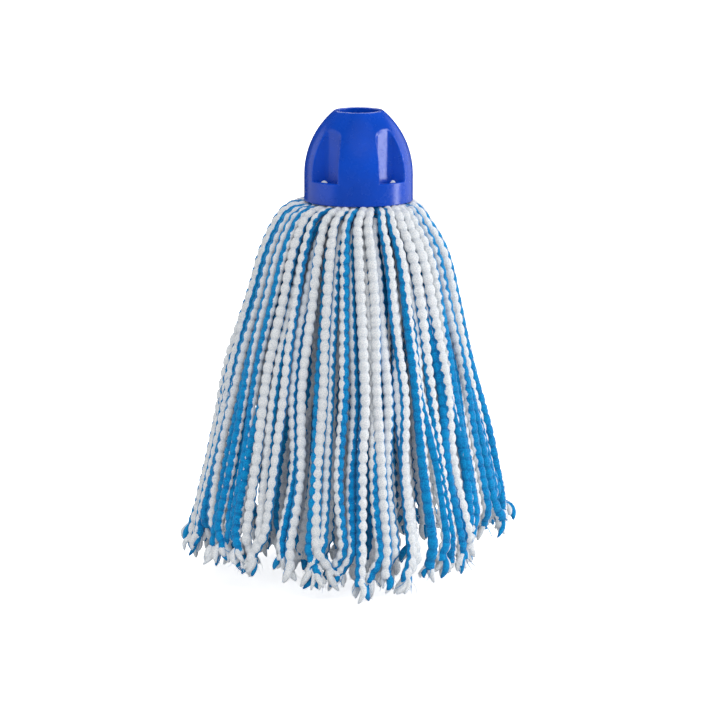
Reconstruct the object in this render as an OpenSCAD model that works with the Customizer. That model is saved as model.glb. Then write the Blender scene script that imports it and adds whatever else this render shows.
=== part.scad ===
// Head of a string mop: a moulded plastic socket for the handle, and a skirt of yarn strands held in it.
// Millimetres. The origin is the centre of the handle hole's mouth, +Z runs up out of the hole,
// and -Y is the front. The head hangs down from its handle.

/* [Socket] */
// Height of the socket, from the mouth of the handle hole to its open lower rim
socket_h = 55.5; // [50:0.5:70]
// Outer radius of the straight belt at the bottom of the socket
belt_r = 33.4; // [32:0.1:42]
// Height of the straight belt, below the dome
belt_h = 16; // [10:0.5:22]
// Radius of the arc that the dome's side follows
dome_bend_r = 51.5; // [45:0.5:70]
// Rounding of the dome's top edge
lip_round = 1; // [0.4:0.1:1.6]
// Thickness of the socket's walls
wall = 2.4; // [1.6:0.1:3]

/* [Handle hole] */
// Radius of the handle hole
bore_r = 12.1; // [9:0.1:13]
// Depth of the handle hole, down to the web that the handle stands on
bore_depth = 38; // [25:1:42]
// Wall of the tube around the handle hole
tube_wall = 2.1; // [1.5:0.1:3]
// Thickness of the web under the handle
web_t = 4; // [3.5:0.5:6]

/* [Pockets] */
// Height of each pocket's front edge above the socket's lower rim
pocket_edge_h = 13.8; // [8:0.2:22]
// Depth of each pocket's floor below that edge
pocket_sill = 2; // [0.5:0.1:4]
// Thickness of each pocket's floor
pocket_floor_t = 2; // [1.2:0.1:3]
// Radius of the window in each pocket's floor
window_r = 2.8; // [1.8:0.1:3]

/* [Clamp plug] */
// Radius of the stem that fits the socket's lower hollow
stem_r = 11; // [8:0.1:11]
// Radius of the snap nose that goes through the web
nose_r = 3.8; // [2.5:0.1:4.5]
// How far the nose's barb stands out over the web
barb_lip = 0.7; // [0.4:0.1:1]
// How far the plug's flange reaches past the handle tube
flange_reach = 2; // [1:0.1:2.2]
// Thickness of the plug's flange
flange_t = 2.4; // [1.5:0.1:4]

/* [Binding band] */
// Height of the band that ties the yarn's heads
band_h = 5; // [3:0.5:8]
// Thickness of the band
band_t = 1.4; // [0.8:0.1:2]

/* [Yarn] */
// Diameter of a strand where it hangs free
strand_d = 6; // [4:0.1:6.6]
// Diameter of a strand where it is squeezed against its neighbours at the rim
rim_strand_d = 4.9; // [3.5:0.1:5]
// Height of the pressed yarn below the socket's rim
drum_h = 12; // [11.4:0.1:18]
// Distance between the outer layer and the middle layer at the rim, centre to centre
layer_step = 6.6; // [6.3:0.1:9]

/* [Skirt] */
// Bend radius of the outer strands where they turn over the rim
shoulder_r = 17; // [14:0.5:24]
// Angle off vertical where that bend ends and the strands can swing
shoulder_angle = 35; // [25:1:45]
// Bend radius of the slack curve below the shoulder
slack_r = 95; // [60:1:140]
// Angle off vertical of the straight length of the skirt
flare = 12.5; // [5:0.5:20]
// How much more the middle strands lean out, which brings them up between the outer ones
middle_lean = 1.7; // [0:0.1:1.8]
// Mean depth of the cut ends below the mouth of the handle hole
hem_depth = 273; // [200:1:360]
// How much deeper the skirt hangs at the front and back, and how much less at the sides
hem_front_extra = 8.5; // [0:0.5:15]
// How much shorter the skirt is on its right side than on its left
hem_side_tilt = 7; // [0:0.5:10]
// How far a single cut end lies above or below its neighbours
hem_scatter = 2.5; // [0:0.5:6]
// Angle off vertical of the inner strands
inner_flare = 8; // [2:0.5:10]

/* [Hidden] */
// Counts of locks and strands
LOCKS = 8;
PER_LOCK = 5;
LAYER_COUNT = LOCKS * PER_LOCK;
INNER_COUNT = 24;
CORE_COUNT = 12;

$fn = 96;

// Clearance between pieces that touch softly, and the fit of the plug in the socket
touch_gap = 0.3;
plug_fit = 0.2;
// How far a cutting shape runs past the face that it opens
overcut = 1;
// Small bevel on the plug's flange and nose
chamfer = 0.6;

// Socket: heights below the mouth of the handle hole are negative
rim_z = -socket_h;
spring_z = rim_z + belt_h;
dome_centre_r = belt_r - dome_bend_r;
inner_r = belt_r - wall;
tube_r = bore_r + tube_wall;
web_top = -bore_depth;
web_bottom = web_top - web_t;
hollow_r = stem_r + plug_fit;
barb_r = nose_r + barb_lip;
nose_hole_r = nose_r + plug_fit;
barb_room = 1.2;
barb_seat_r = barb_r + barb_room;
barb_seat_z = web_top - web_t / 2;
tube_inset = 1.5;
tube_end_z = rim_z + tube_inset;

// Pockets: corners of the front right pocket in plan, as shares of the belt's radius
pocket_edge_z = rim_z + pocket_edge_h;
pocket_floor_z = pocket_edge_z - pocket_sill;
pocket_base_z = pocket_floor_z - pocket_floor_t;
pocket_inner_edge = belt_r * [0.392, -0.92];
pocket_inner_corner = belt_r * [0.317, -0.70];
pocket_crease = belt_r * [0.563, -0.464];
pocket_outer_edge = belt_r * [0.847, -0.53];
window_centre = pocket_crease + belt_r * [0.066, -0.096];
pocket_reach = 1.7;
rib_t = 2;

// Pressed yarn: a drum that starts inside the socket's mouth and goes on below its rim
drum_top = pocket_base_z - touch_gap;
drum_in_r = inner_r - touch_gap;
drum_inset = 0.7;
drum_out_r = belt_r - drum_inset;
drum_bottom = rim_z - touch_gap - drum_h;
drum_hole_r = tube_r + touch_gap;
band_z = (rim_z + drum_top) / 2;

// Tufts of the pressed yarn, which stand up through the windows in the pockets' floors
tuft_clearance = 0.4;
tuft_rise = 3.3;
tuft_r = window_r - tuft_clearance;
tuft_tip_r = 0.98 * tuft_r;
tuft_top = pocket_floor_z + tuft_rise;

// Skirt: centre lines in a plane through the axis, as [distance from the axis, height]
start_r = drum_out_r + touch_gap;
rim_strand_z = rim_z - touch_gap - rim_strand_d / 2;
shoulder_centre = [start_r, rim_strand_z - shoulder_r];
slack_centre = shoulder_centre + (shoulder_r - slack_r) * polar(shoulder_angle);
bead_swell = 0.3;
core_gap = 1.5;
inner_start_r = drum_out_r - strand_d;
core_start_r = inner_start_r - strand_d - core_gap;

function polar(a) = [cos(a), sin(a)];
function strand_name(i) = str("strand_", i < 10 ? "0" : "", i);

// The angle that a gap of touch_gap takes on a bend of the given radius
function gap_angle(bend_r) = touch_gap / bend_r * 180 / PI;

// Directions around the axis, in degrees from +X
function outer_angle(i) = (i - 0.5) * 360 / LAYER_COUNT;
function middle_angle(i) = (i - 1) * 360 / LAYER_COUNT;

// Height of the cut ends in direction a, with the scatter of strand number i
function hem_z(a, i) =
    -(hem_depth - hem_front_extra * cos(2 * a) - hem_side_tilt * cos(a) + hem_scatter * sin(211 * i));

// A bend in the XZ plane around a centre, from one angle down to another
module bend(centre, bend_r, from, to, d) {
    translate([centre.x, 0, centre.y])
        rotate([90, 0, 0])
            rotate([0, 0, to])
                rotate_extrude(angle = from - to)
                    translate([bend_r, 0])
                        circle(d = d, $fn = 24);
}

// A straight length in the XZ plane, from a point down to a height, at an angle off vertical
module drop(point, angle, end_z, d) {
    translate([point.x, 0, point.y])
        rotate([0, 180 - angle, 0])
            cylinder(d = d, h = (point.y - end_z) / cos(angle), $fn = 24);
}

// The length of a strand that the rim holds: out from the drum and over the shoulder
module held_strand(inset, a) {
    rotate([0, 0, a])
        bend(shoulder_centre, shoulder_r - inset, 90, shoulder_angle, rim_strand_d);
}

// The free length of a strand: a slack curve, a bead, then straight down to its cut end
module free_strand(inset, lean, a, i) {
    bend_r = slack_r - inset;
    bead = slack_centre + bend_r * polar(lean);
    rotate([0, 0, a]) {
        bend(slack_centre, bend_r, shoulder_angle - gap_angle(bend_r), lean, strand_d);
        translate([bead.x, 0, bead.y])
            sphere(d = strand_d + bead_swell, $fn = 48);
        drop(bead, lean, hem_z(a, i), strand_d);
    }
}

// A strand that hangs straight out of the drum's underside, cut off level there
module straight_strand(r, angle, a, i) {
    run_in = strand_d / 2;
    top = [r - run_in * sin(angle), drum_bottom + run_in * cos(angle)];
    rotate([0, 0, a])
        intersection() {
            drop(top, angle, hem_z(a, i), strand_d);
            translate([0, -belt_r, -2 * hem_depth])
                cube([4 * belt_r, 2 * belt_r, 2 * hem_depth + drum_bottom - touch_gap]);
        }
}

// Solid of the socket's outside, without holes
module socket_outside() {
    lip_r = dome_centre_r + sqrt(pow(dome_bend_r, 2) - pow(spring_z, 2)) - lip_round;
    intersection() {
        translate([0, 0, rim_z])
            cylinder(r = belt_r, h = socket_h);
        rotate_extrude()
            intersection() {
                union() {
                    translate([0, rim_z])
                        square([belt_r, belt_h]);
                    translate([dome_centre_r, spring_z])
                        circle(r = dome_bend_r, $fn = 240);
                }
                union() {
                    translate([0, rim_z])
                        square([belt_r, socket_h - lip_round]);
                    square_top(lip_r);
                    translate([lip_r, -lip_round])
                        circle(r = lip_round, $fn = 48);
                }
            }
    }
}

module square_top(r) {
    translate([0, -lip_round])
        square([r, lip_round]);
}

// Hollow inside the socket's skin, open at the rim
module socket_inside() {
    rotate_extrude()
        intersection() {
            translate([0, rim_z - overcut])
                square([inner_r, socket_h + overcut - wall]);
            union() {
                translate([0, rim_z - overcut])
                    square([inner_r, belt_h + overcut]);
                translate([dome_centre_r, spring_z])
                    circle(r = dome_bend_r - wall, $fn = 240);
            }
        }
}

// Places a front right shape at all four corners of the socket
module four_corners() {
    for (side = [0, 1], end = [0, 1])
        mirror([side, 0, 0])
            mirror([0, end, 0])
                children();
}

// A point further along the line from one point to another, outside the socket
function past(from, to) = from + pocket_reach * (to - from);

// Plan of one pocket, grown by a wall
module pocket_plan(grow) {
    polygon([
        past(pocket_inner_corner, pocket_inner_edge) + grow * [-1, 0],
        pocket_inner_corner + grow * [-1, 0.35],
        pocket_crease + grow * [-0.35, 1.1],
        past(pocket_crease, pocket_outer_edge) + grow * [0, 1]
    ]);
}

module pocket_block(grow, base_z) {
    translate([0, 0, base_z])
        linear_extrude(-base_z)
            pocket_plan(grow);
}

module socket_shell() {
    color([0.05, 0.22, 0.78])
    difference() {
        union() {
            difference() {
                socket_outside();
                socket_inside();
            }
            translate([0, 0, tube_end_z])
                cylinder(r = tube_r, h = -tube_end_z - lip_round);
            intersection() {
                socket_outside();
                union() {
                    four_corners()
                        pocket_block(wall, pocket_base_z);
                    for (a = [0, 90])
                        rotate([0, 0, a])
                            translate([-belt_r, -rib_t / 2, pocket_base_z])
                                cube([2 * belt_r, rib_t, -pocket_base_z - lip_round]);
                }
            }
        }
        four_corners()
            pocket_block(0, pocket_edge_z);
        intersection() {
            four_corners()
                pocket_block(0, pocket_floor_z);
            translate([0, 0, pocket_floor_z])
                cylinder(r = inner_r, h = 2 * pocket_sill);
        }
        four_corners()
            translate([window_centre.x, window_centre.y, pocket_base_z - overcut])
                cylinder(r = window_r, h = pocket_floor_t + 2 * overcut);
        translate([0, 0, web_top])
            cylinder(r = bore_r, h = bore_depth + overcut);
        translate([0, 0, barb_seat_z])
            cylinder(r = barb_seat_r, h = web_t);
        translate([0, 0, web_bottom - overcut])
            cylinder(r = nose_hole_r, h = web_t);
        translate([0, 0, rim_z])
            cylinder(r = hollow_r, h = web_bottom - rim_z);
    }
}

module clamp_plug() {
    stem_top = web_bottom - plug_fit;
    hub_top = tube_end_z - plug_fit;
    flange_r = tube_r + flange_reach;
    flange_top = drum_bottom - touch_gap;
    flange_foot = flange_top - flange_t;
    barb_foot = barb_seat_z + touch_gap / 2;
    color([0.85, 0.87, 0.9])
    rotate_extrude()
        polygon([
            [0, flange_foot],
            [flange_r - chamfer, flange_foot],
            [flange_r, flange_foot + chamfer],
            [flange_r, flange_top],
            [tube_r, flange_top],
            [tube_r, hub_top],
            [stem_r, hub_top],
            [stem_r, stem_top],
            [nose_r, stem_top],
            [nose_r, barb_foot],
            [barb_r, barb_foot],
            [nose_r - chamfer, web_top - touch_gap],
            [0, web_top - touch_gap]
        ]);
}

module binding_band() {
    color([0.9, 0.9, 0.88])
    translate([0, 0, band_z - band_h / 2])
        difference() {
            cylinder(r = drum_in_r, h = band_h);
            translate([0, 0, -overcut])
                cylinder(r = drum_in_r - band_t, h = band_h + 2 * overcut);
        }
}

module yarn_head() {
    color([0.93, 0.94, 0.95])
    difference() {
        union() {
            translate([0, 0, rim_z - touch_gap])
                cylinder(r = drum_in_r, h = drum_top - rim_z + touch_gap);
            translate([0, 0, drum_bottom])
                cylinder(r = drum_out_r, h = drum_h);
            four_corners()
                translate([window_centre.x, window_centre.y, drum_top - overcut])
                    cylinder(r = tuft_r, h = tuft_top - tuft_r - drum_top + overcut);
            four_corners()
                translate([window_centre.x, window_centre.y, tuft_top - tuft_r])
                    sphere(r = tuft_tip_r);
        }
        translate([0, 0, drum_bottom - overcut])
            cylinder(r = drum_hole_r, h = socket_h);
        translate([0, 0, band_z - band_h / 2 - touch_gap])
            difference() {
                cylinder(r = drum_in_r + overcut, h = band_h + 2 * touch_gap);
                translate([0, 0, -overcut])
                    cylinder(r = drum_in_r - band_t - touch_gap, h = band_h + 2 * touch_gap + 2 * overcut);
            }
    }
}

module rim_yarn() {
    color([0.82, 0.88, 0.94])
    for (i = [1:LAYER_COUNT])
        held_strand(0, outer_angle(i));
}

module under_yarn() {
    color([0.65, 0.78, 0.9])
    for (i = [1:LAYER_COUNT])
        held_strand(layer_step, middle_angle(i));
}

module outer_strand(i) {
    color(i % 3 == 0 ? [0.05, 0.5, 0.8] : [0.9, 0.92, 0.94])
        free_strand(0, flare, outer_angle(i), i);
}

module middle_strands(k) {
    color([0.6, 0.75, 0.88])
    for (j = [1:PER_LOCK]) {
        i = (k - 1) * PER_LOCK + j;
        free_strand(layer_step, flare + middle_lean, middle_angle(i), i + 50);
    }
}

module inner_strands() {
    color([0.55, 0.7, 0.85])
    for (i = [1:INNER_COUNT])
        straight_strand(inner_start_r, inner_flare, i * 360 / INNER_COUNT, i + 90);
}

module core_strands() {
    color([0.5, 0.65, 0.8])
    for (i = [1:CORE_COUNT])
        straight_strand(core_start_r, inner_flare / 2, (i + 0.25) * 360 / CORE_COUNT, i + 120);
}

socket_shell();
clamp_plug();
binding_band();
yarn_head();
rim_yarn();
under_yarn();
inner_strands();
core_strands();
for (k = [1:LOCKS])
    middle_strands(k);
for (i = [1:LAYER_COUNT])
    outer_strand(i);
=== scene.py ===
"""Head of a string mop: a glossy blue handle socket over a skirt of beaded, two-tone yarn strands."""

import math
import random

import bmesh
import bpy
import numpy as np
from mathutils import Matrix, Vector


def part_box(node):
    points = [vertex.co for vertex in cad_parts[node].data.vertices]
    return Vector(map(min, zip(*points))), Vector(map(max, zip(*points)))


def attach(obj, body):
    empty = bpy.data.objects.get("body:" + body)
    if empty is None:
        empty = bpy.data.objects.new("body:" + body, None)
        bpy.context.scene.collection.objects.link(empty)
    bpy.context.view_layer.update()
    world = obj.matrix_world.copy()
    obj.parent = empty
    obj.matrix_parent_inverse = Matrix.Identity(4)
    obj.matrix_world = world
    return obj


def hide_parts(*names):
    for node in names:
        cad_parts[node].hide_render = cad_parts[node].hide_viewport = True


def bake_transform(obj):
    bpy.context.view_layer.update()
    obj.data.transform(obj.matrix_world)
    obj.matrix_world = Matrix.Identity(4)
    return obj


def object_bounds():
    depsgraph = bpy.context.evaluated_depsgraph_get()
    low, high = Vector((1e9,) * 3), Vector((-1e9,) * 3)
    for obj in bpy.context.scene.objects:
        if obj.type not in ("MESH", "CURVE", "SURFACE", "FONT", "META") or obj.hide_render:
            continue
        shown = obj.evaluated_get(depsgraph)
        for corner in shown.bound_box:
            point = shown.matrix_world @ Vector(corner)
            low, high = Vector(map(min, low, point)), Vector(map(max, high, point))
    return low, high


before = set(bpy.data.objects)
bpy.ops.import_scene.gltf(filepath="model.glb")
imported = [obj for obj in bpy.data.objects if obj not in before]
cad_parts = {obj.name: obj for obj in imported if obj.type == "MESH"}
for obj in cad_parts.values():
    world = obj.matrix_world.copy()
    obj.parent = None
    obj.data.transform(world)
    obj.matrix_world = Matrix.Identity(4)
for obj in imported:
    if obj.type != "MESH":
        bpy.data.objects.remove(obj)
cad_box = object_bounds()

MM = 0.001

# Camera
VIEW_WIDTH = 442.8 * MM
CAMERA_DISTANCE = 6.0
CAMERA_RISE = math.radians(8.8)
LOOK_AT = Vector((0.9, 0, -154.9)) * MM
SENSOR = 36.0

# Brightness of the white surroundings: as light, as a reflection, and the floor's lift for the camera
WORLD_GLOW = 0.22
MIRROR_GLOW = 0.03
FLOOR_GLOW = 0.7
LIGHT_AIM = Vector((0, 0, -0.14))

# Socket, from its CAD box
SOCKET_LOW, SOCKET_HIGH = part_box("socket_shell")
RIM_Z = SOCKET_LOW[2]
BELT_R = SOCKET_HIGH[0]

# Socket's skin, in millimetres: a domed top over a straight belt, and the plan corners of one pocket
SKIN_R = BELT_R / MM
SPRING_Z = RIM_Z / MM + 16
DOME_BEND_R = 51.5
DOME_CENTRE_R = SKIN_R - DOME_BEND_R
EDGE_ROUND = 0.9
POCKET_EDGE_Z = RIM_Z / MM + 13.8
POCKET_SILL = 2.0
POCKET_ROUND = 1.6
POCKET_INNER_EDGE = (13.09, 30.73)
POCKET_INNER_CORNER = (10.59, 23.38)
POCKET_CREASE = (18.80, 15.50)
POCKET_OUTER_EDGE = (28.29, 17.70)

# Socket's inside, in millimetres: handle hole, web with the plug's seat, core tube, and the wall's inner face
TOP_ROUND = 1.0
BORE_R = 12.1
BORE_LIP = 0.6
BEVEL = 0.5
WEB_TOP_Z = -38.0
WEB_LOW_Z = -42.0
SEAT_R = 5.7
SEAT_Z = -40.0
NOSE_HOLE_R = 4.0
TUBE_R = 14.2
TUBE_BORE_R = 11.2
TUBE_END_Z = -54.0
WALL_INNER_R = 31.0
MOUTH_TOP_Z = -45.9
RIM_LOW_ROUND = 0.6
RIM_INNER_ROUND = 0.4

# Round window in each pocket's floor, in millimetres: its place in plan, its radius and its cutter
WINDOW_PLACE = (21.01, 18.7)
WINDOW_R = 2.8
WINDOW_Z = -44.8
WINDOW_CUT = 6

# Pressed yarn, in millimetres: rings of folded heads as (height, radius), and the tufts under the windows
HEAD_RINGS = ((-51, 22.5), (-57.5, 27.5), (-57.5, 19.5), (-64.5, 27.5), (-64.5, 19.5))
HEAD_WAIST_R = 3.2
HEAD_BELLY = 1.6
TUFT_PLACE = (21.0, 18.7)
TUFT_FOLDS = 3
TUFT_REACH = 1.35
TUFT_RISE = 2

# Strands: centre lines in a plane through the axis, as [distance from the axis, height]
LOCKS = 8
PER_LOCK = 5
LAYER_COUNT = LOCKS * PER_LOCK
START_R = BELT_R - 0.4 * MM
RIM_STRAND_Z = RIM_Z - 2.75 * MM
SHOULDER_R = 17 * MM
SHOULDER_ANGLE = 35
SLACK_R = 95 * MM
FLARE = 12.5
MIDDLE_LEAN = 1.7
LAYER_STEP = 6.6 * MM
HEM_DEPTH = 273 * MM
HEM_FRONT_EXTRA = 8.5 * MM
HEM_SIDE_TILT = 7 * MM
HEM_SCATTER = 2.5 * MM
INNER_COUNT = 24
INNER_FLARE = 8
CORE_COUNT = 12
TUCK = 5 * MM

# Yarn. A corner of the hem: its direction in degrees, how far it hangs low or high, its spread in degrees
GIRTH = 3.35 * MM
BEAD_PITCH = 7.0 * MM
SKIRT_DRIFT = 5.0 * MM
SHOULDER_TILT = 2.0 * MM
LEFT_TUCK = 4.5 * MM
LOW_CORNER = (302, 9 * MM, 26)
HIGH_CORNER = (232, 4 * MM, 30)
WANDER = 3.0 * MM
UNEVEN = 1.4
FRAY_LENGTH = 7 * MM
CURL = 9 * MM
INNER_CURL = 5 * MM

# Random ranges: a bead's size, a strand's girth, its share of blue, and the depth of its blue beads
BEAD_SIZES = (0.86, 1.10)
GIRTHS = (0.90, 1.08)
BLUE_SHARES = (0.7, 1.2)
BLUE_BEADS = (0.14, 0.34)

# Cut ends, lengths and radii in millimetres
PLIES = 4
FIBRES = 4
PLY_LENGTHS = (9, 15)
PLY_RADII = (1.3, 2.3)
FIBRE_R = 0.14

# First seeds of the random draws
OUTER_SEED = 1000
MIDDLE_SEED = 2000
INNER_SEED = 3000
TUFT_SEED = 4100
FRAY_SEED = 5000


# ---------------------------------------------------------------- shader groups

def new_group(name, inputs, outputs):
    """A shader node group with named sockets: inputs and outputs map a name to (socket type, default)."""
    group = bpy.data.node_groups.new(name, "ShaderNodeTree")
    for side, sockets in (("INPUT", inputs), ("OUTPUT", outputs)):
        for label, (kind, value) in sockets.items():
            socket = group.interface.new_socket(name=label, in_out=side, socket_type=kind)
            if value is not None:
                socket.default_value = value
    return group, group.nodes.new("NodeGroupInput"), group.nodes.new("NodeGroupOutput")


def math_node(tree, operation, a, b=None):
    """A Math node on links or plain numbers; gives its output socket."""
    node = tree.nodes.new("ShaderNodeMath")
    node.operation = operation
    for slot, value in enumerate((a, b)):
        if isinstance(value, bpy.types.NodeSocket):
            tree.links.new(value, node.inputs[slot])
        elif value is not None:
            node.inputs[slot].default_value = value
    return node.outputs[0]


def noise_node(tree, vector, scale, detail=3.0, roughness=0.55):
    node = tree.nodes.new("ShaderNodeTexNoise")
    node.inputs["Scale"].default_value = scale
    node.inputs["Detail"].default_value = detail
    node.inputs["Roughness"].default_value = roughness
    tree.links.new(vector, node.inputs["Vector"])
    return node.outputs["Fac"]


def remap(tree, value, low, high, to_low, to_high):
    node = tree.nodes.new("ShaderNodeMapRange")
    node.interpolation_type = "SMOOTHSTEP"
    tree.links.new(value, node.inputs["Value"])
    for label, number in (("From Min", low), ("From Max", high), ("To Min", to_low), ("To Max", to_high)):
        node.inputs[label].default_value = number
    return node.outputs["Result"]


def mix_colour(tree, factor, a, b):
    node = tree.nodes.new("ShaderNodeMix")
    node.data_type = "RGBA"
    for socket, value in ((node.inputs["Factor"], factor), (node.inputs["A"], a), (node.inputs["B"], b)):
        if isinstance(value, bpy.types.NodeSocket):
            tree.links.new(value, socket)
        else:
            socket.default_value = value
    return node.outputs["Result"]


def object_coordinates(tree):
    return tree.nodes.new("ShaderNodeTexCoord").outputs["Object"]


def pile_group():
    """Short microfibre pile: a height for the bump, and a mask that is dark between the tufts."""
    group, given, out = new_group(
        "fibre_pile",
        {"Tuft Scale": ("NodeSocketFloat", 1500.0)},
        {"Height": ("NodeSocketFloat", None), "Shade": ("NodeSocketFloat", None)},
    )
    place = object_coordinates(group)
    tufts = group.nodes.new("ShaderNodeTexVoronoi")
    tufts.feature = "SMOOTH_F1"
    tufts.inputs["Smoothness"].default_value = 0.6
    group.links.new(place, tufts.inputs["Vector"])
    group.links.new(given.outputs["Tuft Scale"], tufts.inputs["Scale"])
    fine = noise_node(group, place, 5200.0, 4.0, 0.65)
    hill = math_node(group, "SUBTRACT", 1.0, tufts.outputs["Distance"])
    height = math_node(group, "ADD", math_node(group, "MULTIPLY", hill, 0.65),
                       math_node(group, "MULTIPLY", fine, 0.45))
    group.links.new(height, out.inputs["Height"])
    group.links.new(remap(group, hill, 0.25, 0.8, 0.0, 1.0), out.inputs["Shade"])
    return group


def cloudy_group():
    """Slow, cloudy colour variation over a surface, from 0 to 1."""
    group, given, out = new_group(
        "cloudy_variation",
        {"Scale": ("NodeSocketFloat", 60.0)},
        {"Mask": ("NodeSocketFloat", None)},
    )
    node = group.nodes.new("ShaderNodeTexNoise")
    node.inputs["Detail"].default_value = 4.0
    group.links.new(object_coordinates(group), node.inputs["Vector"])
    group.links.new(given.outputs["Scale"], node.inputs["Scale"])
    group.links.new(remap(group, node.outputs["Fac"], 0.35, 0.65, 0.0, 1.0), out.inputs["Mask"])
    return group


PILE = pile_group()
CLOUDY = cloudy_group()


# ---------------------------------------------------------------- materials

def new_material(name, colour):
    """A node material with a Principled shader; gives the material, its tree and the shader."""
    material = bpy.data.materials.new(name)
    material.use_nodes = True
    material.diffuse_color = (*colour, 1.0)
    tree = material.node_tree
    return material, tree, tree.nodes["Principled BSDF"]


def use_group(tree, group, **values):
    node = tree.nodes.new("ShaderNodeGroup")
    node.node_tree = group
    for label, value in values.items():
        node.inputs[label.replace("_", " ")].default_value = value
    return node


def add_bump(tree, shader, height, distance, strength=1.0):
    bump = tree.nodes.new("ShaderNodeBump")
    bump.inputs["Distance"].default_value = distance
    bump.inputs["Strength"].default_value = strength
    tree.links.new(height, bump.inputs["Height"])
    tree.links.new(bump.outputs["Normal"], shader.inputs["Normal"])


def yarn_material():
    """Beaded chenille yarn: white pile with an azure side whose edge follows the beads, and painted shade in
    the creases between beads.
    """
    material, tree, shader = new_material("beaded_yarn", (0.6, 0.75, 0.85))
    uv = tree.nodes.new("ShaderNodeUVMap")
    uv.uv_map = "UVMap"
    split = tree.nodes.new("ShaderNodeSeparateXYZ")
    tree.links.new(uv.outputs["UV"], split.inputs["Vector"])
    from_blue, along = split.outputs["X"], split.outputs["Y"]
    ragged = math_node(tree, "MULTIPLY", noise_node(tree, object_coordinates(tree), 700.0, 2.0), 0.09)
    bead_wave = math_node(tree, "COSINE", math_node(tree, "MULTIPLY", along, math.tau))
    scallop = math_node(tree, "MULTIPLY", bead_wave, -0.030)
    edge = math_node(tree, "ADD", math_node(tree, "ADD", from_blue, scallop), ragged)
    blue_mask = remap(tree, edge, 0.23, 0.26, 1.0, 0.0)
    pile = use_group(tree, PILE)
    cloudy = use_group(tree, CLOUDY, Scale=90.0)
    white = mix_colour(tree, pile.outputs["Shade"], (0.62, 0.67, 0.72, 1), (0.86, 0.865, 0.87, 1))
    blue_deep = mix_colour(tree, cloudy.outputs["Mask"], (0.0, 0.14, 0.42, 1), (0.0, 0.20, 0.52, 1))
    blue = mix_colour(tree, pile.outputs["Shade"], blue_deep, (0.0, 0.32, 0.66, 1))
    pile_colour = mix_colour(tree, blue_mask, white, blue)
    # Painted shade: the colour darkens at each joint between beads, toward grey on the white side and navy on
    # the blue side.
    bead_joint_shade = remap(tree, bead_wave, 0.3, 1.0, 0.0, 0.34)
    painted_crease_shade = mix_colour(tree, blue_mask, (0.52, 0.58, 0.66, 1), (0.0, 0.07, 0.27, 1))
    tree.links.new(mix_colour(tree, bead_joint_shade, pile_colour, painted_crease_shade), shader.inputs["Base Color"])
    shader.inputs["Roughness"].default_value = 0.85
    shader.inputs["Specular IOR Level"].default_value = 0.25
    shader.inputs["Sheen Weight"].default_value = 0.12
    shader.inputs["Sheen Roughness"].default_value = 0.5
    add_bump(tree, shader, pile.outputs["Height"], 0.5 * MM, 0.6)
    return material


def socket_material():
    """Glossy injection-moulded blue plastic with a faint moulding texture and dull handling marks."""
    material, tree, shader = new_material("moulded_blue", (0.01, 0.07, 0.5))
    place = object_coordinates(tree)
    cloudy = use_group(tree, CLOUDY, Scale=45.0)
    colour = mix_colour(tree, cloudy.outputs["Mask"], (0.001, 0.060, 0.50, 1), (0.002, 0.070, 0.57, 1))
    tree.links.new(colour, shader.inputs["Base Color"])
    marks = remap(tree, noise_node(tree, place, 160.0, 5.0), 0.3, 0.7, 0.23, 0.29)
    tree.links.new(marks, shader.inputs["Roughness"])
    shader.inputs["Specular IOR Level"].default_value = 0.5
    add_bump(tree, shader, noise_node(tree, place, 900.0, 3.0), 0.02 * MM, 0.3)
    return material


def plain_plastic(name, light, dark, roughness):
    """Satin moulded plastic for the hidden plug."""
    material, tree, shader = new_material(name, light)
    cloudy = use_group(tree, CLOUDY, Scale=120.0)
    colour = mix_colour(tree, cloudy.outputs["Mask"], (*dark, 1), (*light, 1))
    tree.links.new(colour, shader.inputs["Base Color"])
    shader.inputs["Roughness"].default_value = roughness
    add_bump(tree, shader, noise_node(tree, object_coordinates(tree), 1400.0, 3.0), 0.03 * MM, 0.4)
    return material


def strap_material():
    """Woven strap: fine ribs that run round the band."""
    material, tree, shader = new_material("woven_strap", (0.8, 0.8, 0.76))
    wave = tree.nodes.new("ShaderNodeTexWave")
    wave.bands_direction = "Z"
    wave.inputs["Scale"].default_value = 420.0
    wave.inputs["Distortion"].default_value = 1.2
    tree.links.new(object_coordinates(tree), wave.inputs["Vector"])
    colour = mix_colour(tree, wave.outputs["Fac"], (0.62, 0.62, 0.58, 1), (0.84, 0.84, 0.8, 1))
    tree.links.new(colour, shader.inputs["Base Color"])
    shader.inputs["Roughness"].default_value = 0.8
    add_bump(tree, shader, wave.outputs["Fac"], 0.2 * MM, 0.6)
    return material


def floor_material():
    """Pale, dull studio floor, lifted a little where the camera sees it, as a lit table is."""
    material, tree, shader = new_material("pale_floor", (0.9, 0.9, 0.9))
    seen = tree.nodes.new("ShaderNodeLightPath").outputs["Is Camera Ray"]
    shader.inputs["Base Color"].default_value = (0.93, 0.93, 0.935, 1)
    shader.inputs["Roughness"].default_value = 0.9
    shader.inputs["Specular IOR Level"].default_value = 0.1
    shader.inputs["Emission Color"].default_value = (1, 1, 1, 1)
    tree.links.new(math_node(tree, "MULTIPLY", seen, FLOOR_GLOW), shader.inputs["Emission Strength"])
    return material


YARN = yarn_material()
BLUE_PLASTIC = socket_material()


# ---------------------------------------------------------------- camera, stage and light

def build_camera():
    camera = bpy.data.objects.new("camera", bpy.data.cameras.new("camera"))
    camera.data.sensor_width = SENSOR
    camera.data.lens = SENSOR * CAMERA_DISTANCE / VIEW_WIDTH
    back = Vector((0, -math.cos(CAMERA_RISE), math.sin(CAMERA_RISE)))
    camera.location = LOOK_AT + CAMERA_DISTANCE * back
    camera.rotation_euler = back.to_track_quat("Z", "Y").to_euler()
    camera.data.clip_end = 50
    bpy.context.scene.collection.objects.link(camera)
    bpy.context.scene.camera = camera


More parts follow.
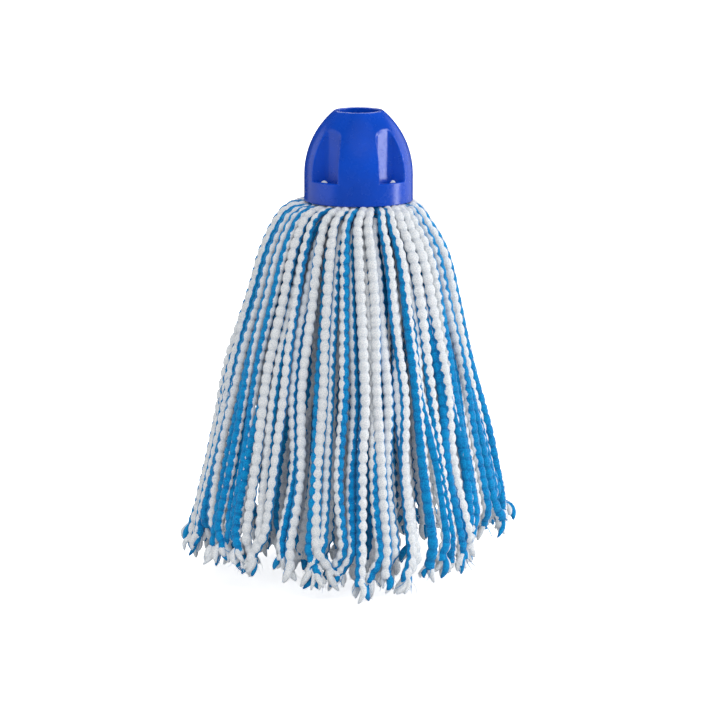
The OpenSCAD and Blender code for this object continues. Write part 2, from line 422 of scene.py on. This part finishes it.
def build_floor():
    """A wide pale floor just under the lowest strand."""
    bm = bmesh.new()
    bmesh.ops.create_circle(bm, cap_ends=True, segments=96, radius=9.0)
    bmesh.ops.translate(bm, verts=bm.verts, vec=(0, 0, cad_box[0][2] - 3 * MM))
    floor = mesh_object("floor", bm, floor_material(), smooth=False)
    floor.visible_glossy = False


def area_light(name, place, size, power):
    """A rectangular panel that faces the middle of the mop and that the camera doesn't see."""
    light = bpy.data.objects.new(name, bpy.data.lights.new(name, "AREA"))
    light.data.shape = "RECTANGLE"
    light.data.size, light.data.size_y = size
    light.data.energy = power
    light.location = place
    light.rotation_euler = (Vector(place) - LIGHT_AIM).to_track_quat("Z", "Y").to_euler()
    light.visible_camera = False
    bpy.context.scene.collection.objects.link(light)


def build_light():
    """Even white surroundings, a soft front light from above, and tall panels at the sides and behind."""
    world = bpy.data.worlds.new("studio")
    world.use_nodes = True
    tree = world.node_tree
    rays = tree.nodes.new("ShaderNodeLightPath").outputs
    seen = math_node(tree, "MULTIPLY", rays["Is Camera Ray"], 1.0 - WORLD_GLOW)
    mirrored = math_node(tree, "MULTIPLY", rays["Is Glossy Ray"], WORLD_GLOW - MIRROR_GLOW)
    strength = math_node(tree, "SUBTRACT", math_node(tree, "ADD", seen, WORLD_GLOW), mirrored)
    background = tree.nodes["Background"]
    background.inputs["Color"].default_value = (1, 1, 1, 1)
    tree.links.new(strength, background.inputs["Strength"])
    bpy.context.scene.world = world
    sky = bpy.data.objects.new("front_sky", bpy.data.lights.new("front_sky", "SUN"))
    sky.data.energy = 1.85
    sky.data.angle = math.radians(60)
    sky.rotation_euler = (math.radians(38), 0, math.radians(12))
    sky.visible_glossy = False
    bpy.context.scene.collection.objects.link(sky)
    area_light("right_panel", (1.6, -0.05, 0.10), (0.36, 1.6), 17)
    area_light("right_back_panel", (1.9, 1.5, 0.25), (1.9, 1.6), 8)
    area_light("left_panel", (-1.6, 0.15, 0.05), (2.7, 1.6), 9)
    area_light("top_back_panel", (0.0, 1.6, 1.3), (1.3, 0.9), 22)


# ---------------------------------------------------------------- mesh helpers

def mesh_object(name, bm, material, smooth=True):
    """Turns a bmesh into a linked object at the origin, and frees the bmesh."""
    mesh = bpy.data.meshes.new(name)
    bm.to_mesh(mesh)
    bm.free()
    mesh.materials.append(material)
    if smooth:
        mesh.polygons.foreach_set("use_smooth", [True] * len(mesh.polygons))
    piece = bpy.data.objects.new(name, mesh)
    bpy.context.scene.collection.objects.link(piece)
    return piece


def smoothstep(t):
    t = np.clip(t, 0.0, 1.0)
    return t * t * (3 - 2 * t)


def evenly(points, count):
    """The same line again, as count points the same distance apart."""
    steps = np.linalg.norm(np.diff(points, axis=0), axis=1)
    along = np.concatenate([[0.0], np.cumsum(steps)])
    at = np.linspace(0.0, along[-1], count)
    return np.column_stack([np.interp(at, along, points[:, k]) for k in range(points.shape[1])])


def line_length(points):
    return float(np.linalg.norm(np.diff(points, axis=0), axis=1).sum())


def slow_noise(rng, t, knots=5):
    """A smooth random curve through a few random values between -1 and 1."""
    values = np.array([rng.uniform(-1, 1) for _ in range(knots)])
    place = t * (knots - 1)
    left = np.clip(place.astype(int), 0, knots - 2)
    part = smoothstep(place - left)
    return values[left] * (1 - part) + values[left + 1] * part


# ---------------------------------------------------------------- yarn

def polar(angle):
    return np.array([math.cos(math.radians(angle)), math.sin(math.radians(angle))])


def bend_points(centre, radius, start, end, count):
    return np.array([centre + radius * polar(a) for a in np.linspace(start, end, count)])


def hem_z(angle, number):
    """Height of a cut end in that direction, with the scatter of that strand."""
    a = math.radians(angle)
    scatter = HEM_SCATTER * math.sin(math.radians(211 * number))
    worn = 0.0
    for (middle, amount, spread), sign in ((LOW_CORNER, 1), (HIGH_CORNER, -1)):
        worn += sign * amount * math.exp(-((angle - middle) / spread) ** 2)
    return -(HEM_DEPTH - HEM_FRONT_EXTRA * math.cos(2 * a) - HEM_SIDE_TILT * math.cos(a) + scatter + worn)


def rim_profile(inset, lean, end_z):
    """A strand's centre line in its plane: out of the pressed yarn, over the rim, down to its cut end."""
    shoulder = np.array([START_R, RIM_STRAND_Z - SHOULDER_R])
    slack = shoulder + (SHOULDER_R - SLACK_R) * polar(SHOULDER_ANGLE)
    top = shoulder + np.array([-TUCK, SHOULDER_R - inset])
    over = bend_points(shoulder, SHOULDER_R - inset, 90, SHOULDER_ANGLE, 16)
    down = bend_points(slack, SLACK_R - inset, SHOULDER_ANGLE, lean, 16)
    drop = down[-1][1] - end_z
    end = np.array([down[-1][0] + drop * math.tan(math.radians(lean)), end_z])
    return np.vstack([[top], over, down[1:], [end]])


def straight_profile(start, lean, end_z):
    """Centre line of an inner strand, which hangs out of the pressed yarn's underside."""
    drop = start[1] - end_z
    return np.array([start, [start[0] + drop * math.tan(math.radians(lean)), end_z]])


def strand_line(profile, angle, rng, sway, curl, pull=0.0):
    """A strand's centre line in space: its profile turned to its direction, with a slow wander and a curl.
    pull brings the line out towards the outer layer over the middle of its length. The skirt drifts to -X,
    its left shoulder is tucked in, and its right shoulder sits a little lower."""
    flat = evenly(profile, 120)
    t = np.linspace(0.0, 1.0, len(flat))
    a = math.radians(angle)
    out = np.array([math.cos(a), math.sin(a), 0.0])
    aside = np.array([-math.sin(a), math.cos(a), 0.0])
    below_rim = RIM_Z - flat[:, 1]
    loose = smoothstep((below_rim - 20 * MM) / (110 * MM))
    side = sway * loose * slow_noise(rng, t)
    front = 0.6 * sway * loose * slow_noise(rng, t)
    pull_end = 1 - smoothstep((below_rim - 100 * MM) / (115 * MM))
    front = front + pull * smoothstep((below_rim - 8 * MM) / (45 * MM)) * pull_end
    tip = smoothstep((t - 0.90) / 0.10) ** 1.5
    side = side + curl * tip * rng.uniform(-1, 1)
    front = front + curl * tip * rng.uniform(-1.1, 0.15)
    lift = 0.45 * curl * tip * rng.uniform(0, 1)
    line = np.outer(flat[:, 0] + front, out) + np.outer(side, aside)
    line[:, 2] = flat[:, 1] + lift
    past_rim = np.clip((flat[:, 0] - BELT_R) / (14 * MM), 0, 1)
    line[:, 0] -= SKIRT_DRIFT * past_rim
    tuck_end = 1 - smoothstep((below_rim - 40 * MM) / (60 * MM))
    line[:, 0] += LEFT_TUCK * max(0.0, -math.cos(a)) * past_rim * tuck_end
    line[:, 2] -= SHOULDER_TILT * math.cos(a) * past_rim * (1 - smoothstep(below_rim / (40 * MM)))
    return line, aside


def add_tube(bm, line, aside, radius, uv_of, sides, rings):
    """Rolls a grid into a tube along a line. radius and uv_of are given (around, along), each from 0 to 1."""
    centre = evenly(line, rings + 1)
    run = np.gradient(centre, axis=0)
    run /= np.linalg.norm(run, axis=1)[:, None]
    across = aside - (run @ aside)[:, None] * run
    across /= np.linalg.norm(across, axis=1)[:, None]
    outward = np.cross(run, across)
    around, along = np.meshgrid(np.linspace(0, 1, sides + 1), np.linspace(0, 1, rings + 1))
    turn = around * math.tau
    reach = radius(around, along)[:, :, None]
    surface = centre[:, None, :] + reach * (
        np.cos(turn)[:, :, None] * outward[:, None, :] + np.sin(turn)[:, :, None] * across[:, None, :])
    across_uv, along_uv = np.broadcast_arrays(*uv_of(around, along))
    uv = bm.loops.layers.uv.active
    made = bmesh.ops.create_grid(bm, x_segments=sides, y_segments=rings, size=1.0, calc_uvs=True)["verts"]
    for face in {face for vert in made for face in vert.link_faces}:
        for loop in face.loops:
            i, j = round(loop[uv].uv.x * sides), round(loop[uv].uv.y * rings)
            loop[uv].uv = across_uv[j, i], along_uv[j, i]
    for vert in made:
        i = round((vert.co.x + 1) / 2 * sides)
        j = round((vert.co.y + 1) / 2 * rings)
        vert.co = surface[j, i]
    edge = [vert for vert in made if vert.is_boundary]
    bmesh.ops.remove_doubles(bm, verts=edge, dist=1e-6)


def yarn_mesh():
    """An empty bmesh that is ready for tubes with their own UV map."""
    bm = bmesh.new()
    bm.loops.layers.uv.new("UVMap")
    return bm


def close_ends(bm):
    """Closes every open tube end, and turns all faces outwards."""
    open_edges = [edge for edge in bm.edges if edge.is_boundary]
    bmesh.ops.holes_fill(bm, edges=open_edges, sides=0)
    bmesh.ops.recalc_face_normals(bm, faces=bm.faces)


def add_strand(bm, line, aside, rng, blue_at, twist, sides, rings_per_bead):
    """One beaded strand: fat white beads on one side, a smoother blue run on the other.
    Its UV map holds the distance from the middle of the blue side, and the count of beads."""
    beads = max(3, round(line_length(line) / BEAD_PITCH))
    sizes = np.array([rng.uniform(*BEAD_SIZES) for _ in range(beads + 2)])
    girth = GIRTH * rng.uniform(*GIRTHS)
    first_bead = rng.random()
    shares = 1 + 0.3 * slow_noise(rng, np.linspace(0, 1, 60), 6)
    blue_share = rng.uniform(*BLUE_SHARES)
    blue_bead = rng.uniform(*BLUE_BEADS)

    def from_blue(around, along):
        turn = (around - blue_at - twist * along) % 1.0
        return np.minimum(turn, 1.0 - turn)

    def radius(around, along):
        place = along * beads + first_bead
        belly = np.abs(np.sin(math.pi * place)) ** 0.7
        size = sizes[place.astype(int)]
        white = smoothstep((from_blue(around, along) - 0.12) / 0.2)
        blue = 0.90 - blue_bead + blue_bead * belly * size
        plump = blue * (1 - white) + (0.68 + 0.38 * belly * size) * white
        squeeze = 0.82 + 0.18 * smoothstep((along - 0.04) / 0.14)
        return girth * plump * squeeze

    def uv_of(around, along):
        share = blue_share * np.interp(along, np.linspace(0, 1, 60), shares)
        return from_blue(around, along) / share, along * beads + first_bead

    add_tube(bm, line, aside, radius, uv_of, sides, beads * rings_per_bead)


def add_ply(bm, root, direction, length, thick, blue, rng):
    """One loose ply of a cut end: a thin spindle that bows as it leaves the strand."""
    heading = direction.normalized()
    bow = Vector((rng.uniform(-1, 1), rng.uniform(-1, 1), rng.uniform(-0.4, 0.4))) * length * 0.22
    steps = np.linspace(0.0, 1.0, 7)
    line = np.array([root + heading * length * t + bow * math.sin(math.pi * t) for t in steps])
    aside = np.array(heading.orthogonal().normalized())

    def radius(around, along):
        return thick * (0.15 + np.sin(math.pi * (0.12 + 0.86 * along)) ** 0.7)

    def uv_of(around, along):
        return (0.0 if blue else 0.5), along

    add_tube(bm, line, aside, radius, uv_of, 7, 8)


def fray(bm, line, rng):
    """The cut end of a strand: its plies part and splay, with a few loose fibres."""
    end = Vector(line[-1])
    run = (end - Vector(line[-8])).normalized()
    root = end - run * 4 * MM
    blue_ply = rng.randrange(PLIES)
    for k in range(PLIES):
        spread = Vector((rng.uniform(-1, 1), rng.uniform(-1, 1), rng.uniform(-0.3, 0.3))) * 0.5
        length = rng.uniform(*PLY_LENGTHS) * MM
        thick = rng.uniform(*PLY_RADII) * MM
        add_ply(bm, root, run + spread, length, thick, k == blue_ply, rng)
    for _ in range(FIBRES):
        spread = Vector((rng.uniform(-1, 1), rng.uniform(-1, 1), rng.uniform(-0.4, 0.6))) * 0.8
        length = rng.uniform(*PLY_LENGTHS) * MM
        add_ply(bm, root, run + spread, length, FIBRE_R * MM, rng.random() < 0.4, rng)


def lock_of(number):
    return (number - 1) // PER_LOCK + 1


def blend_over_rim(piece):
    """Bakes a strand's placement into its mesh at the origin."""
    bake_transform(piece)


def blue_turn(rng, angle, inward=0.0):
    """Where a strand's blue side faces at its top, and how far it turns on the way down, as shares of a turn.
    The front shows mostly white, the left more blue, and the right turns its blue side out at the hem."""
    a = math.radians(angle)
    front = 1 - smoothstep((math.sin(a) + 0.1) / 0.5)
    forward = front * math.atan2(-math.cos(a), -math.sin(a)) / math.tau
    left = max(0.0, math.cos(math.radians(angle - 200))) ** 2
    right = max(0.0, math.cos(math.radians(angle - 345))) ** 2
    top = 0.29 + inward - 0.12 * left + 0.02 * right + rng.uniform(-0.14, 0.14)
    bottom = 0.37 + inward - 0.18 * left - 0.43 * right + rng.uniform(-0.14, 0.14)
    side = rng.choice((-1, 1))
    return forward + side * top, side * (bottom - top)


def build_outer_strands():
    """The outer layer: one declared cord for each strand. Gives the centre lines of each lock."""
    lines = {lock: [] for lock in range(1, LOCKS + 1)}
    for i in range(1, LAYER_COUNT + 1):
        rng = random.Random(OUTER_SEED + i)
        angle = (i - 0.5) * 360 / LAYER_COUNT + rng.uniform(-UNEVEN, UNEVEN)
        profile = rim_profile(0.0, FLARE, hem_z(angle, i) + FRAY_LENGTH)
        line, aside = strand_line(profile, angle, rng, WANDER, CURL)
        bm = yarn_mesh()
        add_strand(bm, line, aside, rng, *blue_turn(rng, angle), 12, 8)
        close_ends(bm)
        piece = mesh_object(f"yarn_strand_{i:02d}", bm, YARN)
        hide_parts(f"strand_{i:02d}", "rim_yarn")
        blend_over_rim(piece)
        lines[lock_of(i)].append(line)
    return lines


def build_middle_strands(lines):
    """The second layer, which fills the gaps between the outer strands: five strands to a lock."""
    for lock in range(1, LOCKS + 1):
        bm = yarn_mesh()
        for j in range(PER_LOCK):
            i = (lock - 1) * PER_LOCK + j + 1
            rng = random.Random(MIDDLE_SEED + i)
            angle = (i - 1) * 360 / LAYER_COUNT + rng.uniform(-UNEVEN, UNEVEN)
            profile = rim_profile(LAYER_STEP, FLARE + MIDDLE_LEAN, hem_z(angle, i + 50) + FRAY_LENGTH)
            line, aside = strand_line(profile, angle, rng, 1.5 * WANDER, CURL, pull=1.6 * MM)
            add_strand(bm, line, aside, rng, *blue_turn(rng, angle, -0.07), 12, 7)
            lines[lock].append(line)
        close_ends(bm)
        piece = mesh_object(f"middle_yarn_{lock}", bm, YARN)
        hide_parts(f"middle_strands_{lock}", "under_yarn")
        blend_over_rim(piece)


def build_frayed_ends(lines):
    """The opened cut ends of each lock's strands."""
    for lock, ends in lines.items():
        rng = random.Random(FRAY_SEED + lock)
        bm = yarn_mesh()
        for line in ends:
            fray(bm, line, rng)
        close_ends(bm)
        piece = mesh_object(f"frayed_ends_{lock}", bm, YARN)
        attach(piece, f"lock_{lock}")


def build_inner_strands():
    """The strands that fill the middle of the skirt and hang from the pressed yarn's underside."""
    top_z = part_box("inner_strands")[1][2]
    drum_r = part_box("yarn_head")[1][0]
    for name, node, count, start_r, lean, offset, number in (
        ("inner_yarn", "inner_strands", INNER_COUNT, drum_r - 6 * MM, INNER_FLARE, 0.0, 90),
        ("core_yarn", "core_strands", CORE_COUNT, drum_r - 13.5 * MM, INNER_FLARE / 2, 0.25, 120),
    ):
        bm = yarn_mesh()
        for i in range(1, count + 1):
            rng = random.Random(INNER_SEED + number + i)
            angle = (i + offset) * 360 / count
            end_z = hem_z(angle, i + number) + FRAY_LENGTH
            profile = straight_profile(np.array([start_r, top_z]), lean, end_z)
            line, aside = strand_line(profile, angle, rng, WANDER, INNER_CURL)
            add_strand(bm, line, aside, rng, rng.uniform(0, 1), rng.uniform(-0.35, 0.35), 10, 6)
            fray(bm, line, rng)
        close_ends(bm)
        piece = mesh_object(name, bm, YARN)
        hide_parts(node)
        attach(piece, "root")


build_camera()
strand_lines = build_outer_strands()
build_middle_strands(strand_lines)
build_frayed_ends(strand_lines)
build_inner_strands()


# ---------------------------------------------------------------- pressed yarn, plug, band and socket

def build_pressed_yarn():
    """The folded heads of the strands, pressed into the socket's mouth, with a tuft in each pocket window."""
    head_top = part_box("yarn_head")[1][2]
    bm = yarn_mesh()
    for z, r in HEAD_RINGS:
        turn = np.linspace(0, math.tau, 181)
        line = np.column_stack([r * MM * np.cos(turn), r * MM * np.sin(turn), np.full(len(turn), z * MM)])
        beads = round(line_length(line) / BEAD_PITCH)

        def radius(around, along):
            return (HEAD_WAIST_R + HEAD_BELLY * np.abs(np.sin(math.pi * beads * along))) * MM + 0 * around

        def uv_of(around, along):
            return 0.25 + 0.25 * np.cos(math.tau * (around + 3 * along)), along * beads

        add_tube(bm, line, np.array([0.0, 0.0, 1.0]), radius, uv_of, 12, beads * 5)
    for k in range(4):
        rng = random.Random(TUFT_SEED + k)
        middle = np.array([(-1, 1)[k % 2] * TUFT_PLACE[0], (-1, 1)[k // 2] * TUFT_PLACE[1], 0.0]) * MM
        for fold in range(TUFT_FOLDS):
            top = head_top - rng.uniform(1.2, 1.9) * MM
            across = np.append(polar(60 * fold + rng.uniform(-15, 15)), 0.0)
            line = []
            for a in np.linspace(-0.4, math.pi + 0.4, 14):
                rise = np.array([0, 0, top - TUFT_RISE * MM + TUFT_RISE * MM * math.sin(a)])
                line.append(middle + TUFT_REACH * MM * math.cos(a) * across + rise)
            fold_r = rng.uniform(1.0, 1.25) * MM
            aside = np.array([-across[1], across[0], 0.0])
            add_tube(bm, np.array(line), aside, lambda around, along: fold_r + 0 * along,
                     lambda around, along: (0.5, along), 10, 12)
    close_ends(bm)
    piece = mesh_object("pressed_yarn", bm, YARN)
    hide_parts("yarn_head")
    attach(piece, "root")


def paint(node, material):
    """Gives a CAD node's object its finished material."""
    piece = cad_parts[node]
    piece.data.materials.clear()
    piece.data.materials.append(material)


def round_join(a, b, radius):
    """Distance to the overlap of two shapes, with a rounded edge between them."""
    inside = np.minimum(-radius, np.maximum(a, b))
    return inside + np.hypot(np.maximum(radius + a, 0), np.maximum(radius + b, 0))


def line_side(x, y, start, end):
    """Signed distance from the line through two plan points, positive on its right."""
    along = np.array(end) - np.array(start)
    along = along / np.linalg.norm(along)
    return (x - start[0]) * along[1] - (y - start[1]) * along[0]


def skin_reach(angle, z):
    """Radius of the socket's skin in that direction and at that height, in millimetres, with its pockets."""
    cos_a, sin_a = np.abs(np.cos(angle)), np.abs(np.sin(angle))
    reach = np.full(np.broadcast(angle, z).shape, SKIN_R + 1.0)
    for _ in range(160):
        x, y = reach * cos_a, reach * sin_a
        over_dome = np.hypot(reach - DOME_CENTRE_R, z - SPRING_Z) - DOME_BEND_R
        dome = np.where(z > SPRING_Z, over_dome, reach - SKIN_R)
        inner = line_side(x, y, POCKET_INNER_EDGE, POCKET_INNER_CORNER)
        back = line_side(x, y, POCKET_INNER_CORNER, POCKET_CREASE)
        outer = line_side(x, y, POCKET_CREASE, POCKET_OUTER_EDGE)
        pocket = round_join(round_join(inner, back, POCKET_ROUND), outer, POCKET_ROUND)
        reach = reach - 0.95 * round_join(dome, -pocket, EDGE_ROUND)
    return reach


def pocket_columns():
    """Directions of the skin's mesh columns, close together where a pocket's wall turns."""
    corners = [POCKET_OUTER_EDGE, POCKET_CREASE, POCKET_INNER_CORNER, POCKET_INNER_EDGE]
    walls = [math.atan2(y, x) for x, y in evenly(np.array(corners), 64)]
    turned = np.linspace(0.004, 0.05, 8)
    quarter = np.concatenate([
        np.linspace(0, walls[0] - 0.06, 9), walls[0] - turned[::-1], walls,
        walls[-1] + turned, np.linspace(walls[-1] + 0.06, math.pi / 2, 7)])
    half = np.concatenate([quarter, math.pi - quarter[-2::-1]])
    return np.concatenate([half, math.pi + half[1:]])


def arc(centre, radius, start, end, count):
    """Points of an arc in a plane through the axis, angles in degrees."""
    return [tuple(np.array(centre) + radius * polar(a)) for a in np.linspace(start, end, count)]


def build_socket():
    """The moulded socket: one closed skin with rounded pocket edges, handle hole and open lower rim."""
    columns = pocket_columns()
    top_r = DOME_CENTRE_R + math.sqrt((DOME_BEND_R - TOP_ROUND) ** 2 - (SPRING_Z + TOP_ROUND) ** 2)
    top_turn = math.degrees(math.atan2(-TOP_ROUND - SPRING_Z, top_r - DOME_CENTRE_R))
    bore = [(NOSE_HOLE_R, WEB_LOW_Z), (NOSE_HOLE_R, SEAT_Z), (SEAT_R, SEAT_Z), (SEAT_R, WEB_TOP_Z)]
    bore += [(BORE_R - BEVEL, WEB_TOP_Z), (BORE_R, WEB_TOP_Z + BEVEL)]
    bore += [(BORE_R, z) for z in np.linspace(-34, -1.2, 10)]
    bore += arc((BORE_R + BORE_LIP, -BORE_LIP), BORE_LIP, 180, 90, 5)
    bore += arc((top_r, -TOP_ROUND), TOP_ROUND, 90, top_turn, 6)
    rows = [[(r, z)] * len(columns) for r, z in bore]
    for z in np.linspace(-0.7, POCKET_EDGE_Z, 88):
        rows.append([(r, z) for r in skin_reach(columns, z)])
    foot = np.array([r for r, z in rows[-1]])
    floor_z = np.where(foot < WALL_INNER_R, POCKET_EDGE_Z - POCKET_SILL, POCKET_EDGE_Z)
    ledge = np.maximum(foot, WALL_INNER_R)
    for share in (0.5, 0.97, 1.0):
        rows.append(list(zip(foot, POCKET_EDGE_Z + share * (floor_z - POCKET_EDGE_Z))))
    for share in (0.03, 0.35, 0.65, 0.97, 1.0):
        rows.append(list(zip(foot + share * (ledge - foot), floor_z)))
    for share in (0.03, 0.5):
        rows.append(list(zip(ledge, floor_z + share * (POCKET_EDGE_Z - floor_z))))
    for r, z in arc((WALL_INNER_R + BEVEL, POCKET_EDGE_Z - BEVEL), BEVEL, 180, 90, 4):
        rows.append([(r, z) if reach < r else (reach, POCKET_EDGE_Z) for reach in foot])
    for r, z in arc((SKIN_R - EDGE_ROUND, POCKET_EDGE_Z - EDGE_ROUND), EDGE_ROUND, 90, 0, 6):
        rows.append([(max(r, reach), z) for reach in foot])
    under = [(SKIN_R, z) for z in (-43.5, -46, -49, -52, -54.6)]
    under += arc((SKIN_R - RIM_LOW_ROUND, RIM_Z / MM + RIM_LOW_ROUND), RIM_LOW_ROUND, 0, -90, 5)
    inner_edge = (WALL_INNER_R + RIM_INNER_ROUND, RIM_Z / MM + RIM_INNER_ROUND)
    under += arc(inner_edge, RIM_INNER_ROUND, 270, 180, 4)
    under += [(WALL_INNER_R, -50.0), (WALL_INNER_R, MOUTH_TOP_Z - 0.3), (WALL_INNER_R - 0.3, MOUTH_TOP_Z)]
    under += [(TUBE_R + 0.3, MOUTH_TOP_Z), (TUBE_R, MOUTH_TOP_Z - 0.3)]
    under += [(TUBE_R, TUBE_END_Z + BEVEL), (TUBE_R - BEVEL, TUBE_END_Z)]
    under += [(TUBE_BORE_R + BEVEL, TUBE_END_Z), (TUBE_BORE_R, TUBE_END_Z + BEVEL)]
    under += [(TUBE_BORE_R, WEB_LOW_Z - 0.4), (TUBE_BORE_R - 0.4, WEB_LOW_Z), (NOSE_HOLE_R, WEB_LOW_Z)]
    rows += [[(r, z)] * len(columns) for r, z in under]
    bm = bmesh.new()
    wide, tall = len(columns) - 1, len(rows) - 1
    made = bmesh.ops.create_grid(bm, x_segments=wide, y_segments=tall, size=1.0)["verts"]
    for vert in made:
        i = round((vert.co.x + 1) / 2 * wide)
        j = round((vert.co.y + 1) / 2 * tall)
        r, z = rows[j][i]
        vert.co = Vector((r * math.cos(columns[i]), r * math.sin(columns[i]), z)) * MM
    bmesh.ops.remove_doubles(bm, verts=bm.verts, dist=0.004 * MM)
    bmesh.ops.dissolve_degenerate(bm, edges=bm.edges, dist=0.002 * MM)
    bmesh.ops.recalc_face_normals(bm, faces=bm.faces)
    piece = mesh_object("moulded_socket", bm, BLUE_PLASTIC)
    cut_windows(piece)
    piece.data.set_sharp_from_angle(angle=math.radians(38))
    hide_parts("socket_shell")
    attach(piece, "root")


def cut_windows(piece):
    """Cuts the round window through the floor of each pocket."""
    bm = bmesh.new()
    for sx in (-1, 1):
        for sy in (-1, 1):
            made = bmesh.ops.create_cone(bm, cap_ends=True, segments=40, radius1=WINDOW_R * MM,
                                         radius2=WINDOW_R * MM, depth=WINDOW_CUT * MM)
            place = Vector((sx * WINDOW_PLACE[0], sy * WINDOW_PLACE[1], WINDOW_Z)) * MM
            bmesh.ops.translate(bm, verts=made["verts"], vec=place)
    cutter = mesh_object("window_cutter", bm, BLUE_PLASTIC, smooth=False)
    cut = piece.modifiers.new("windows", "BOOLEAN")
    cut.object = cutter
    cut.solver = "EXACT"
    finished = bpy.data.meshes.new_from_object(piece.evaluated_get(bpy.context.evaluated_depsgraph_get()))
    piece.modifiers.clear()
    piece.data = finished
    bpy.data.objects.remove(cutter)


build_pressed_yarn()
build_socket()
paint("clamp_plug", plain_plastic("natural_plastic", (0.8, 0.82, 0.84), (0.72, 0.75, 0.78), 0.42))
paint("binding_band", strap_material())
build_floor()
build_light()
bpy.context.scene.view_settings.view_transform = "Standard"
